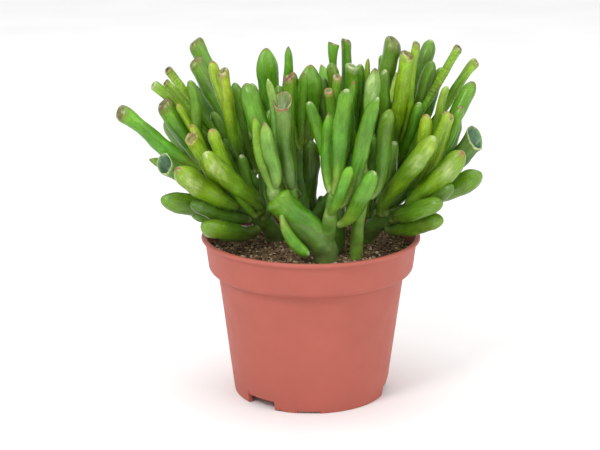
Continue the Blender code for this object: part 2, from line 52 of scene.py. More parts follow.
# Pot
RIM_RADIUS = (POT_HIGH[0] - POT_LOW[0]) / 2
POT_HEIGHT = POT_HIGH[2]
FOOT_RADIUS = 0.71 * RIM_RADIUS
BAND_HEIGHT = 20.0 * MM
LIP_OVERHANG = 2.0 * MM
LIP_DEPTH = 2.2 * MM
BAND_TAPER = 1.6 * MM
BAND_STEP = 5.2 * MM
SHOULDER_DEPTH = 4.2 * MM
WALL = 1.2 * MM
FOOT_WALL = 2.2 * MM
CHANNEL_HEIGHT = 5.2 * MM
PAD_RADIUS = 25.0 * MM
# Raised places in the foot's edge: azimuth and width in degrees, height
NOTCHES = ((-40.0, 25.0, 5.0 * MM), (80.0, 25.0, 5.0 * MM), (200.0, 25.0, 5.0 * MM))
NICKS = ((-2.0, 17.0, 0.9 * MM), (118.0, 17.0, 0.9 * MM), (238.0, 17.0, 0.9 * MM), (-23.0, 3.0, 0.8 * MM))
AZIMUTH_STEP = 1.5
EDGE_STEP = 0.12
POT_COLOUR = (173, 90, 76)
# The lip is coloured a little lighter than the body: a painted highlight along the rim
LIP_HIGHLIGHT_COLOUR = (177, 95, 81)

# Soil
SOIL_LEVEL = SOIL_HIGH - 1.6 * MM
SOIL_RADIUS = RIM_RADIUS - 4.1 * MM
SOIL_SKIRT = 4 * MM
SOIL_RINGS, SOIL_SIDES = 110, 300
CRUMBS, CRUMB_SEED = 5200, 5
CRUMB_SIZES = (0.35, 0.45, 0.55, 0.7, 0.95)
FIBRES, FIBRE_SEED = 900, 8
FIBRE_RINGS, FIBRE_SIDES = 5, 4

# Stems
STEM_GRID = 0.7 * MM
SMOOTHINGS = 14
LEAF_SCAR_GAP = 8.5 * MM

# Points closer than this are one point
SAME_POINT = 1e-6

# Front view and light
CAMERA_TARGET = Vector((-0.006, 0.0, 0.09365))
CAMERA_DISTANCE = 0.849
CAMERA_PITCH = math.radians(15.5)
CAMERA_LENS = 93.0
CAMERA_SENSOR = 36.0
SKY_STRENGTH = 0.85
# Place, size and power
LAMPS = {
    "key": ((-0.9, -1.1, 1.5), 0.55, 14.0), "fill": ((1.2, -0.9, 0.9), 1.0, 6.0),
    "top": ((0.0, 0.4, 1.8), 1.2, 9.0),
}


def srgb(red, green, blue):
    """A colour given as 0 to 255 screen values, in linear light."""
    values = np.array([red, green, blue]) / 255.0
    return np.where(values <= 0.04045, values / 12.92, ((values + 0.055) / 1.055) ** 2.4)


# Leaf colours: near the foot, along the body, near the tip
TONES = {
    "green": ((116, 148, 46), (84, 136, 24), (98, 150, 28)),
    "bright": ((112, 156, 48), (88, 148, 24), (108, 162, 32)),
    "lime": ((110, 150, 44), (108, 150, 26), (134, 170, 42)),
    "yellow": ((112, 152, 38), (128, 168, 26), (150, 182, 42)),
    "dark": ((102, 134, 42), (85, 126, 24), (100, 140, 34)),
    "deep": ((86, 114, 42), (72, 107, 26), (84, 118, 36)),
    "pale": ((122, 160, 70), (100, 148, 46), (124, 164, 66)),
    "grey": ((96, 128, 56), (82, 120, 40), (110, 142, 66)),
}
FOOT_PALE = srgb(150, 172, 96)
# Colour of the painted highlight on the front of some leaves near the tip
PAINTED_HIGHLIGHT = srgb(196, 208, 150)
WORN = srgb(196, 190, 150)

# Stain on a leaf's tip or on the rim of its mouth, and the colour inside that mouth
STAINS = {
    "red": (srgb(122, 30, 36), srgb(116, 80, 44)), "pink": (srgb(150, 78, 66), srgb(114, 134, 78)),
    "brown": (srgb(112, 72, 50), srgb(104, 112, 52)), "pale": (srgb(176, 188, 136), srgb(72, 108, 74)),
    "maroon": (srgb(84, 22, 34), srgb(96, 44, 40)), "dry": (srgb(160, 112, 82), srgb(124, 122, 50)),
    "none": (None, srgb(86, 126, 44)),
}

# Girth of a leaf as a share of its CAD body's, where it is not the usual share
FULLER = {
    "left_1": 1.1, "left_2": 1.14, "left_3": 1.2, "left_4": 1.15, "left_5": 0.98, "left_7": 1.16,
    "left_9": 0.9, "left_11": 1.22, "middle_1": 1.12, "middle_3": 1.12, "middle_4": 1.16, "middle_7": 1.3,
    "middle_9": 1.15, "middle_12": 0.94, "right_1": 1.12, "right_2": 1.14, "right_3": 1.2,
    "right_5": 1.12, "right_6": 1.0, "right_7": 1.16, "right_9": 0.92, "right_11": 1.25, "right_13": 1.18,
    "back_1": 1.3,
}
FULLNESS = 1.06

# How far some leaf tips lean from their CAD place, in mm
LEANS = {
    "left_3": (0, 0, -0.2), "left_4": (0, 0, -2), "left_5": (0, 0, 0.6), "left_6": (-0.8, 0, 1.3),
    "left_9": (-1.3, 0, 0), "left_11": (-3.2, 0, 0), "middle_4": (1.2, 0, 0.6), "middle_5": (0.6, 0, 0),
    "middle_7": (0.8, 0, 1), "middle_9": (4.6, 0, 0.5), "middle_10": (-0.5, 0, -1.8),
    "right_3": (0, 0, 3), "right_5": (3, 0, 2), "right_6": (0.3, 0, 0.4), "right_7": (2, 0, 0.5),
    "right_8": (1.2, 0, -1.1), "right_9": (0.3, 0, 0.3), "right_11": (1.3, 0, 0.9),
    "right_12": (0, 0, -1.9), "right_13": (1.5, 0, -1.5), "back_1": (-0.9, 0, 0),
}

# Leaves with a painted highlight: a pale patch mixed into the colour of their front, near the tip
HIGHLIGHTED_LEAVES = ("left_1", "left_2", "middle_13", "right_1", "right_2")

# The CAD leaves of each group in the order of their numbers: shape, tone, rim
LOOKS = {
    "left": (
        "tapered lime pale", "tapered lime pink", "tapered dark none", "tapered dark none",
        "cup grey pale", "bulb bright brown", "mouth green brown", "mouth lime pale",
        "wrinkled lime maroon", "dried yellow dry", "mouth dark brown", "tapered yellow pink",
        "tapered dark none",
    ),
    "middle": (
        "tapered green red", "pointed pale pink", "cup grey pink", "spoon bright brown",
        "pointed bright brown", "mouth bright red", "spoon green pink", "pointed bright red",
        "flare bright brown", "mouth green brown", "mouth green dry", "finger green pale",
        "spoon pale brown", "pointed green pale", "tapered dark none", "tapered green pale",
    ),
    "right": (
        "tapered lime pale", "tapered lime pink", "tapered dark none", "tapered dark none",
        "tapered dark none", "cup grey pale", "finger green brown", "mouth lime brown",
        "wrinkled lime maroon", "tapered yellow pink", "finger dark pale", "mouth yellow brown",
        "dimple dark brown", "finger dark none",
    ),
    "back": (
        "mouth green brown", "tapered green pink", "tapered dark none", "finger lime red",
        "trumpet grey pale", "pointed bright pink", "tapered green pale", "mouth yellow brown",
    ),
}

# Smaller leaves between the CAD ones: foot and tip (x, y and height above the soil) and girth in mm, then
# shape, tone, rim, and for one of them how far its middle lies off, in mm
SMALL_LEAVES = (
    (-66, 5, 42, -88, 2, 49, 3.2, "pointed green brown"),
    (-48, 15, 56, -80, 22, 88, 2.5, "mouth lime maroon"),
    (-50, 4, 46, -71, 0, 80, 2.7, "finger yellow pink"),
    (-44, -2, 34, -64, -10, 71, 2.9, "finger yellow pink"),
    (-30, -8, 20, -52, -24, 71, 4, "finger yellow dry"),
    (-32, 13, 34, -54, 18, 69, 3.1, "finger dark none"),
    (-44, 17, 52, -66, 36, 84, 3.2, "finger green pale"),
    (-38, 8, 48, -47, -6, 99, 3.7, "mouth yellow brown"),
    (-21, -26, 42, -31, -8, 93, 3.6, "finger green pale"),
    (-20, -34, 40, -29, -38, 81, 2.9, "pointed lime red"),
    (-12, -28, 40, -23, -24, 98, 2.8, "pointed pale pale"),
    (-6, 4, 54, -4, -4, 98, 3, "pointed green pink"),
    (15, -27, 43, 0.5, -28, 86, 3.4, "finger green pale"),
    (2, 8, 14, -4, 4, 60, 4.8, "finger deep none"),
    (15, -6, 48, 9, -14, 90, 2.9, "mouth bright pink"),
    (18, 20, 56, 8, 12, 100, 3.9, "finger dark none"),
    (20, 20, 56, 22, 10, 99, 3.9, "mouth green pale"),
    (23, 24, 56, 27, 22, 98, 3.2, "finger green pale"),
    (17, -8, 48, 22, -24, 97, 2.7, "pointed green pink"),
    (28, 22, 64, 31, 16, 102, 1.9, "pointed lime red"),
    (9, -35, 28, 20, -49, 57, 3.3, "finger bright none"),
    (-15, -38, 25, -1, -45, 9, 3, "finger green pale", (-3, 0, -3)),
    (8, -27, 12, -19.5, -34, 37.5, 6.8, "block green none"),
    (62, -2, 42, 75, 0, 89, 2.8, "finger lime pale"),
    (53, -8, 32, 69, -22, 82, 2.8, "finger yellow pink"),
    (56, -8, 34, 70, -14, 76, 3.9, "dried yellow dry"),
    (43, 13, 38, 59, 8, 80, 3.1, "finger green pale"),
    (48, 12, 52, 56.5, 4, 112, 2.8, "mouth yellow brown"),
    (38, 28, 62, 39, 28, 102, 2.2, "finger bright none"),
    (38, -8, 26, 46, -16, 60, 4.1, "finger dark pale"),
    (70, 0, 46, 81, 6, 68, 2.6, "finger green brown"),
    (-26, -10, 22, -37, -10, 53, 3.3, "finger dark pale"),
    (-34, -8, 18, -62, -28, 36, 4.4, "finger deep none"),
    (44, -10, 18, 72, -30, 46, 4.3, "finger deep none"),
    (-30, 18, 38, -42, 20, 88, 3.9, "finger dark none"),
    (-18, 28, 48, -32, 22, 84, 3.9, "finger green pink"),
    (-8, 6, 48, -18, 12, 88, 3.4, "finger dark none"),
    (-22, -8, 20, -30, -4, 60, 3.6, "finger deep none"),
    (-14, 6, 22, -22, 2, 62, 3.8, "finger dark none"),
    (24, -18, 36, 30, -8, 74, 3.6, "finger deep none"),
    (30, 2, 20, 34, 2, 62, 3.8, "finger dark none"),
    (40, 8, 36, 42, -4, 78, 3.8, "finger dark none"),
    (30, 28, 48, 28, 34, 92, 3.8, "finger green none"),
    (-6, 30, 44, -2, 34, 90, 3.8, "finger green none"),
    (-28, 34, 44, -44, 46, 77, 3.8, "mouth yellow brown"),
    (-24, 34, 40, -34, 56, 78, 4, "finger green pink"),
    (-14, 30, 34, -28, 64, 66, 4, "finger dark none"),
    (-12, 31, 22, -10, 66, 44, 4, "finger dark none"),
    (18, 29, 24, 26, 68, 40, 4, "finger dark none"),
    (20, 29, 44, 26, 62, 78, 4, "finger green red"),
    (22, 28, 52, 30, 48, 88, 3.4, "pointed bright pink"),
    (-14, 31, 46, -6, 50, 84, 3.4, "mouth yellow brown"),
    (34, 32, 48, 62, 50, 62, 4.2, "finger green none"),
    (-32, 34, 50, -66, 52, 80, 4, "finger lime pink"),
    (38, 30, 58, 64, 44, 92, 3.8, "finger green pale"),
    (40, 14, 26, 70, 32, 40, 4.2, "finger dark none"),
    (-30, 12, 26, -62, 32, 38, 4.2, "finger dark none"),
    (44, 17, 44, 70, 34, 86, 3.8, "mouth green brown"),
    (-40, 18, 46, -64, 40, 70, 3.8, "finger green none"),
    (57, 15, 58, 72, 22, 96, 3.2, "finger green pale"),
    (-56, -2, 44, -66, 4, 92, 3.4, "finger dark pale"),
    (64, -4, 44, 80, -6, 80, 3, "finger green pink"),
    (-48, 14, 26, -80, 16, 68, 5, "finger dark brown"),
    (-40, 20, 26, -74, 26, 52, 4.6, "finger dark none"),
    (13, 19, 50, 6, 14, 92, 4, "finger deep none"),
    (42, 10, 28, 60, 8, 72, 4.2, "finger dark none"),
    (36, 4, 18, 62, 0, 40, 5, "finger dark none"),
    (32, 16, 20, 56, 16, 46, 4.6, "finger deep none"),
    (50, 14, 36, 82, 16, 68, 4.4, "finger dark none"),
    (-36, -2, 18, -64, -14, 27, 4.6, "finger dark none"),
    (44, -2, 20, 88, 2, 40, 4.4, "finger dark none"),
    (14, -13, 0, 14, -11, 34, 5, "finger deep none"),
    (50, 12, 56, 66, 14, 100, 4.2, "finger dark none"),
    (-28, 16, 20, -50, 12, 60, 4, "finger dark none"),
    (-10, -6, 34, -12, -14, 74, 3.6, "finger dark none"),
    (24, -2, 34, 20, -12, 78, 3.4, "finger green pale"),
    (14, 24, 33, 15, 26, 78, 3.8, "finger dark pale"),
    (-26, 22, 30, -24, 26, 72, 4, "finger green pale"),
    (36, 22, 34, 44, 24, 78, 4, "finger green pale"),
    (14, 14, 4, 4, 10, 26, 4, "finger deep none"),
    (-24, 6, 16, -23, 3, 50, 4.2, "finger deep none"),
    (-2, 16, 50, -6, 12, 95, 3.2, "finger dark pink"),
    (40, 12, 52, 40, 4, 98, 3.4, "finger dark pale"),
)


# Meshes

def add_object(name, data):
    obj = bpy.data.objects.new(name, data)
    bpy.context.scene.collection.objects.link(obj)
    return obj


def places(vertices):
    return np.array([tuple(v.co) for v in vertices])


def mesh_object(name, vertices, faces, colours, smooth=True):
    """A mesh in the scene whose points carry these colours."""
    mesh = bpy.data.meshes.new(name)
    mesh.from_pydata([tuple(v) for v in vertices], [], faces)
    layer = mesh.attributes.new("tint", "FLOAT_COLOR", "POINT")
    rgba = np.ones((len(vertices), 4), dtype=np.float32)
    rgba[:, :3] = colours
    layer.data.foreach_set("color", rgba.ravel())
    if smooth:
        mesh.shade_smooth()
    return add_object(name, mesh)


def face_outwards(mesh, gap=0.0):
    """Turns the faces' normals outwards, after joining points no farther apart than the gap."""
    shape = bmesh.new()
    shape.from_mesh(mesh)
    if gap:
        bmesh.ops.remove_doubles(shape, verts=shape.verts, dist=gap)
    bmesh.ops.recalc_face_normals(shape, faces=shape.faces)
    shape.to_mesh(mesh)
    shape.free()


def grid_faces(rings, sides):
    """Quads that join each ring of vertices to the next one."""
    faces = []
    for ring in range(rings - 1):
        for side in range(sides):
            after = (side + 1) % sides
            a, b = ring * sides + side, ring * sides + after
            faces.append((a, b, b + sides, a + sides))
    return faces


def unit(vector):
    """The vector at length 1."""
    return vector / (np.linalg.norm(vector) + 1e-12)


def smoothstep(low, high, value):
    """A smooth step from 0 at low to 1 at high."""
    t = np.clip((value - low) / (high - low), 0.0, 1.0)
    return t * t * (3 - 2 * t)


def mix(a, b, share):
    """Colours between a and b, by a share of b for each point."""
    return a + (b - a) * np.asarray(share)[..., None]


def within(point, home, reach):
    """The point, or the nearest one to it no farther than reach from home."""
    away = point - home
    return home + away * min(1.0, reach / (np.linalg.norm(away) + 1e-12))


def noise_at(points, size, seed):
    """Smooth noise about 0 at points, with features of this size."""
    offset = Vector((seed * 3.7, seed * 1.3, seed * 5.1))
    return np.array([noise.noise(Vector(p) / size + offset) for p in points])


# Leaf centre lines

LINE_POINTS = 60
FLAT_ANGLE, CAP_FACES, ROUND_ENOUGH = 0.02, 6, 1.05


def leaf_rings(node):
    """Centres and radii of a CAD leaf's rings, in order from one end to the other."""
    shape = bmesh.new()
    shape.from_mesh(node.data)
    bmesh.ops.remove_doubles(shape, verts=shape.verts, dist=SAME_POINT)
    shape.normal_update()
    shape.faces.ensure_lookup_table()
    cap = None
    for face in shape.faces:
        # A cap is a flat face, cut into six triangles, with all its corners at one distance from its middle
        group = {face}
        queue = [face]
        while queue:
            current = queue.pop()
            for edge in current.edges:
                for other in edge.link_faces:
                    if other not in group and other.normal.angle(face.normal) < FLAT_ANGLE:
                        group.add(other)
                        queue.append(other)
        corners = {vertex for member in group for vertex in member.verts}
        spots = places(corners)
        reach = np.linalg.norm(spots - spots.mean(axis=0), axis=1)
        if len(group) == CAP_FACES and reach.max() < reach.min() * ROUND_ENOUGH:
            cap = corners
            break
    rings = []
    seen = set(cap)
    current = cap
    while current:
        points = places(current)
        centre = points.mean(axis=0)
        rings.append((*centre, np.linalg.norm(points - centre, axis=1).mean()))
        following = {e.other_vert(v) for v in current for e in v.link_edges} - seen
        seen |= following
        current = following
    shape.free()
    return np.array(rings)


def catmull_rom(points, count):
    """A smooth line through the points."""
    rows = np.asarray(points, dtype=float)
    ends = np.vstack([2 * rows[0] - rows[1], rows, 2 * rows[-1] - rows[-2]])
    result = []
    for u in np.linspace(0, len(rows) - 1, count):
        i = min(int(u), len(rows) - 2)
        t = u - i
        a, b, c, d = ends[i:i + 4]
        result.append(0.5 * (2 * b + (c - a) * t + (2 * a - 5 * b + 4 * c - d) * t * t
                             + (3 * b - 3 * c + d - a) * t ** 3))
    return np.array(result)


def read_along(line, shares):
    """Points at shares of a line's length, and the length."""
    steps = np.linalg.norm(np.diff(line, axis=0), axis=1)
    reach = np.concatenate([[0.0], np.cumsum(steps)])
    wanted = np.asarray(shares) * reach[-1]
    return np.column_stack([np.interp(wanted, reach, line[:, k]) for k in range(3)]), reach[-1]


def bezier(a, b, c, d, count):
    """A curve from a to d, drawn towards b and c on the way."""
    t = np.linspace(0, 1, count)[:, None]
    return (1 - t) ** 3 * a + 3 * (1 - t) ** 2 * t * b + 3 * (1 - t) * t ** 2 * c + t ** 3 * d


def above_soil(point):
    """A point given in mm, with its height above the soil."""
    return np.array([point[0] * MM, point[1] * MM, SOIL_LEVEL + point[2] * MM])


# Leaf shapes

SIDES = 20
LEAF_RINGS = 36
WRINKLED_RINGS = 150
WRINKLE = 2 * math.pi / (2.3 * MM)

# Radius along a leaf: share of its length, share of its girth
PROFILES = {
    "tapered": ((0, 0.46), (0.08, 0.57), (0.25, 0.80), (0.48, 0.98), (0.68, 1.0), (0.86, 0.92), (1, 0.84)),
    "finger": ((0, 0.46), (0.08, 0.57), (0.25, 0.80), (0.5, 0.97), (0.68, 1.0), (0.86, 0.94), (1, 0.88)),
    "spoon": ((0, 0.36), (0.1, 0.44), (0.25, 0.58), (0.45, 0.80), (0.68, 1.0), (0.85, 0.97), (1, 0.88)),
    "pointed": ((0, 0.48), (0.08, 0.62), (0.25, 0.84), (0.5, 1.0), (0.72, 0.94), (0.9, 0.76), (1, 0.62)),
    "trumpet": ((0, 0.46), (0.08, 0.56), (0.3, 0.72), (0.6, 0.78), (0.8, 0.80), (0.93, 0.98), (1, 1.14)),
    "cup": ((0, 0.5), (0.1, 0.62), (0.3, 0.80), (0.55, 0.93), (0.8, 0.96), (0.93, 1.04), (1, 1.1)),
    "flare": ((0, 0.46), (0.08, 0.56), (0.3, 0.66), (0.6, 0.58), (0.8, 0.60), (0.93, 0.84), (1, 1.0)),
    "bulb": ((0, 0.48), (0.2, 0.8), (0.42, 1.0), (0.6, 0.92), (0.78, 0.80), (0.9, 0.92), (1, 1.0)),
    "mouth": ((0, 0.48), (0.08, 0.6), (0.25, 0.8), (0.5, 0.95), (0.75, 0.95), (0.9, 0.92), (1, 0.96)),
    "block": ((0, 0.6), (0.12, 0.82), (0.3, 0.95), (0.55, 1.0), (0.8, 1.04), (0.92, 1.06), (1, 1.02)),
}

# Rings past the end of the body: girths ahead, share of the radius, how far inside the mouth
CUP = ((0.05, 1.01, 0.0), (0.08, 0.97, 0.1), (0.04, 0.91, 0.8), (-0.25, 0.82, 1), (-0.7, 0.68, 1),
       (-1.05, 0.44, 1), (-1.2, 0.18, 1), (-1.22, 0.01, 1))
DIMPLE = ((0.28, 0.96, 0.0), (0.50, 0.86, 0.1), (0.62, 0.72, 0.2), (0.65, 0.58, 0.3), (0.58, 0.45, 0.7),
          (0.48, 0.30, 1), (0.43, 0.14, 1), (0.42, 0.01, 1))
BLUNT = ((0.08, 1.0, 0.0), (0.16, 0.96, 0.1), (0.10, 0.86, 0.6), (0.0, 0.68, 1), (0.02, 0.42, 1),
         (0.04, 0.2, 1), (0.04, 0.01, 1))
SWOLLEN = ((0.22, 0.93, 0.0), (0.42, 0.80, 0.0), (0.52, 0.64, 0.0), (0.53, 0.50, 0.2), (0.44, 0.37, 0.8),
           (0.30, 0.22, 1), (0.24, 0.08, 1), (0.24, 0.01, 1))
# Open ends: rings, girths of the body that they take the place of, how far the mouth tilts to its front
ENDS = {
    "trumpet": (CUP, 0.0, 0.75), "cup": (CUP, 0.0, 0.9), "flare": (CUP, 0.0, 0.5),
    "mouth": (DIMPLE, 0.6, 0.45), "bulb": (DIMPLE, 0.6, 0.6), "wrinkled": (DIMPLE, 0.6, 0.3),
    "dried": (BLUNT, 0.1, 0.35), "dimple": (SWOLLEN, 0.5, 0.5),
}
CLOSED = ((), 0.0, 0.0)
# Closed tips: length in girths, and the two powers of their rounding
CAPS = {
    "finger": (1.5, 2.0, 0.53), "tapered": (1.5, 2.0, 0.53), "pointed": (1.9, 1.7, 0.66),
    "spoon": (2.1, 1.9, 0.6), "block": (0.5, 2.2, 0.5),
}
# How much thinner than round a leaf is; other shapes vary
FLATNESS = {"spoon": 0.34, "pointed": 0.12, "trumpet": 0.02, "flare": 0.06, "block": 0.34, "dimple": 0.16}
BLOCK_ACROSS = np.array([0.7, 0.0, 0.7])


def leaf_body(line, girth, shape):
    """A leaf's rings from foot to tip and, where it is open, on into its mouth.

    Their centres, tangents and radii, place along the leaf from 0 to 1, how far inside the mouth, whether
    past the end of the body, and the leaf's length.
    """
    end, trim, _ = ENDS.get(shape, CLOSED)
    count = WRINKLED_RINGS if shape == "wrinkled" else LEAF_RINGS
    # Seven tenths of the rings share four fifths of the length, and the others crowd towards the tip
    spread = np.linspace(0, 1, count)
    late = np.clip((spread - 0.7) / 0.3, 0, 1)
    u = np.where(spread < 0.7, spread * 0.8 / 0.7, 1 - 0.2 * (1 - late) ** 1.8)
    _, length = read_along(line, u)
    centres, _ = read_along(line, u * (1 - trim * girth / length))
    profile = PROFILES.get(shape, PROFILES["mouth" if end else "finger"])
    radii = girth * np.interp(u, *zip(*profile))
    if not end:
        cap, power, bluntness = CAPS[shape]
        left = np.clip((1 - u) * length / (cap * girth), 0, 1)
        radii = radii * np.clip(1 - (1 - left) ** power, 0.0004, 1) ** bluntness
    tangents = np.gradient(centres, axis=0)
    tangents /= np.linalg.norm(tangents, axis=1)[:, None] + 1e-12
    extra = np.array(end).reshape(-1, 3)
    last, ahead = centres[-1], tangents[-1]
    centres = np.vstack([centres, last + ahead * extra[:, :1] * girth])
    tangents = np.vstack([tangents, np.tile(ahead, (len(extra), 1))])
    radii = np.concatenate([radii, radii[-1] * extra[:, 1]])
    inside = np.concatenate([np.zeros(count), extra[:, 2]])
    forward = np.concatenate([np.zeros(count), np.ones(len(extra))])
    u = np.concatenate([u, np.ones(len(extra))])
    return centres, tangents, radii, u, inside, forward, length


def leaf_mesh(name, line, girth, shape, tone, rim, seed, highlighted=False):
    """One leaf around its centre line, from foot to tip."""
    end, _, tilt = ENDS.get(shape, CLOSED)
    centres, tangents, radii, u, inside, forward, length = leaf_body(line, girth, shape)
    along = np.concatenate([[0.0], np.cumsum(np.linalg.norm(np.diff(centres, axis=0), axis=1))])
    halfway = centres[(len(centres) - len(end)) // 2]
    out = unit(halfway * (1, 1, 0) + (0.0, -1e-4, 0.0))
    across = unit(np.cross(tangents[0], out) + (0.05, 0.02, 0.0))
    if shape == "block":
        across = BLOCK_ACROSS
    angles = np.arange(SIDES) * 2 * math.pi / SIDES
    facing = unit(np.array((out[0] * 0.7, out[1] - 0.7, 0.4)))
    rng = random.Random(seed)
    flat = FLATNESS.get(shape, rng.uniform(0.05, 0.16))
    lobes, phase = rng.uniform(0.006, 0.02), rng.uniform(0, 6)
    ragged = [rng.uniform(-1, 1) for _ in range(SIDES)]
    sway, turn = rng.uniform(0.2, 0.6) * 0.03 * length, rng.uniform(0, 6)
    points, grain = [], []
    for k in range(len(centres)):
        across = unit(across - tangents[k] * np.dot(across, tangents[k]))
        other = np.cross(tangents[k], across)
        squeeze = flat * smoothstep(0.05, 0.4, u[k])
        near_tip = 0.0 if not end else max(smoothstep(0.80, 1.0, u[k]), forward[k])
        bow = math.sin(math.pi * u[k]) * math.sin(2 * math.pi * u[k] + turn) * sway
        middle = centres[k] + (across * math.cos(turn) + other * math.sin(turn)) * bow
        for index, angle in enumerate(angles):
            swell = 1 + lobes * math.cos(3 * angle + phase) + 0.01 * math.sin(2 * angle + 5 * u[k])
            if shape == "wrinkled":
                wave = WRINKLE * u[k] * length + 1.4 * math.sin(angle + phase)
                wave += 3 * math.sin(7 * u[k] + phase)
                swell += 0.03 * math.sin(wave) * (1 - inside[k]) * (0.6 + 0.4 * math.sin(23 * u[k] + angle))
            radial = (math.cos(angle) * across * (1 + squeeze * 0.35)
                      + math.sin(angle) * other * (1 - squeeze)) * radii[k] * swell
            lean = np.dot(unit(radial), facing) if radii[k] > 1e-6 else 0.0
            point = middle + radial - tangents[k] * tilt * radii[k] * lean * near_tip
            if shape == "dried" and u[k] > 0.97 and inside[k] < 0.9:
                point = point + tangents[k] * ragged[index] * 0.14 * girth
            points.append(point)
            grain.append((math.cos(angle) * girth, math.sin(angle) * girth, along[k]))
    points, grain = np.array(points), np.array(grain)
    ring_of = np.repeat(np.arange(len(centres)), SIDES)
    # Long folds, broad dents and fine creases
    folds = noise_at(grain * (1, 1, 0.22), 3.2 * MM, seed) * 0.13 + noise_at(points, 8 * MM, seed + 9) * 0.11
    folds = folds + noise_at(grain * (1, 1, 0.5), 1.5 * MM, seed + 2) * 0.03
    middles = centres[ring_of]
    points = middles + (points - middles) * (1 + folds * (1 - inside[ring_of] * 0.7))[:, None]
    colours = leaf_colours(points, u[ring_of], inside[ring_of], length, shape, tone, rim, seed)
    # A painted highlight: pale colour mixed into the side turned towards the camera, near the tip
    if highlighted:
        front = (points - middles) @ np.array([0.0, -0.96, 0.28]) / girth
        painted_highlight = smoothstep(0.35, 0.8, front)
        painted_highlight = painted_highlight * smoothstep(0.62, 0.78, u[ring_of]) * smoothstep(1.0, 0.93, u[ring_of])
        painted_highlight = painted_highlight * smoothstep(-0.25, 0.2, noise_at(grain * (1, 1, 0.4), 1.6 * MM, seed + 4))
        colours = mix(colours, PAINTED_HIGHLIGHT, painted_highlight * 0.45)
    faces = grid_faces(len(centres), SIDES)
    faces.append(tuple(reversed(range(SIDES))))
    faces.append(tuple(range((len(centres) - 1) * SIDES, len(centres) * SIDES)))
    obj = mesh_object(name, points, faces, colours)
    layer = obj.data.attributes.new("grain", "FLOAT_VECTOR", "POINT")
    layer.data.foreach_set("vector", (grain * (1, 1, 0.16) + seed * 0.013).astype(np.float32).ravel())
    return obj


def leaf_colours(points, u, inside, length, shape, tone, rim, seed):
    """A leaf's colour from its pale foot to its tinted tip, with soft blotches."""
    foot, body, tip = (srgb(*colour) for colour in TONES[tone])
    colour = mix(mix(foot, body, smoothstep(0.12, 0.45, u)), tip, smoothstep(0.55, 1.0, u))
    if shape != "block":
        colour = mix(FOOT_PALE, colour, smoothstep(0.0, 4.5 * MM / length, u))
    blotch = noise_at(points, 11 * MM, seed + 3)
    colour = colour * (1 + 0.34 * blotch)[:, None]
    colour[:, 0] *= 1 + 0.24 * noise_at(points, 16 * MM, seed + 5)
    edge_noise = noise_at(points, 1.6 * MM, seed + 7)
    if shape == "wrinkled":
        lines = np.sin(WRINKLE * u * length + 7 * noise_at(points, 5 * MM, seed + 8) + 4 * edge_noise)
        share = smoothstep(-0.4, 0.3, noise_at(points, 4 * MM, seed + 1))
        colour = colour * (1 + 0.22 * lines * share)[:, None]
    to_tip = (1 - u) * length
    if rim == "none":
        return np.clip(colour, 0, 1)
    stain = STAINS[rim][0]
    if shape in CAPS:
        reach = {"finger": 1.5, "pointed": 2.0, "spoon": 1.4}.get(shape, 1.0) * MM
        share = smoothstep(reach, reach * 0.1, to_tip + edge_noise * 1.2 * MM) * 0.85
        halo = smoothstep(reach * 3.0, 0.0, to_tip) * 0.28
        colour = mix(colour, stain, np.maximum(share, halo * (rim != "pale")))
        return np.clip(colour, 0, 1)
    cup = shape in ("trumpet", "flare", "cup")
    edge = smoothstep(1.6 * MM, 0.15 * MM, to_tip + edge_noise * 0.8 * MM) * (0.85 if cup else 0.35)
    brim = (inside > 0.05) * (inside < 0.9) * np.clip(0.8 + edge_noise, 0.35, 1.0)
    worn = smoothstep(0.05, 0.45, noise_at(points, 2.1 * MM, seed + 6))
    stain = mix(stain, WORN, worn * 0.7)
    colour = mix(colour, stain, np.maximum(edge * (inside < 0.5), brim))
    pit = STAINS["none" if rim == "pale" and not cup else rim][1] * (1 + 0.5 * edge_noise)[:, None]
    colour = mix(colour, pit, smoothstep(0.4, 1.0, inside))
    return np.clip(colour, 0, 1)


# Materials

# How far light goes in plant flesh, by colour
FLESH = (0.5, 1.0, 0.2)


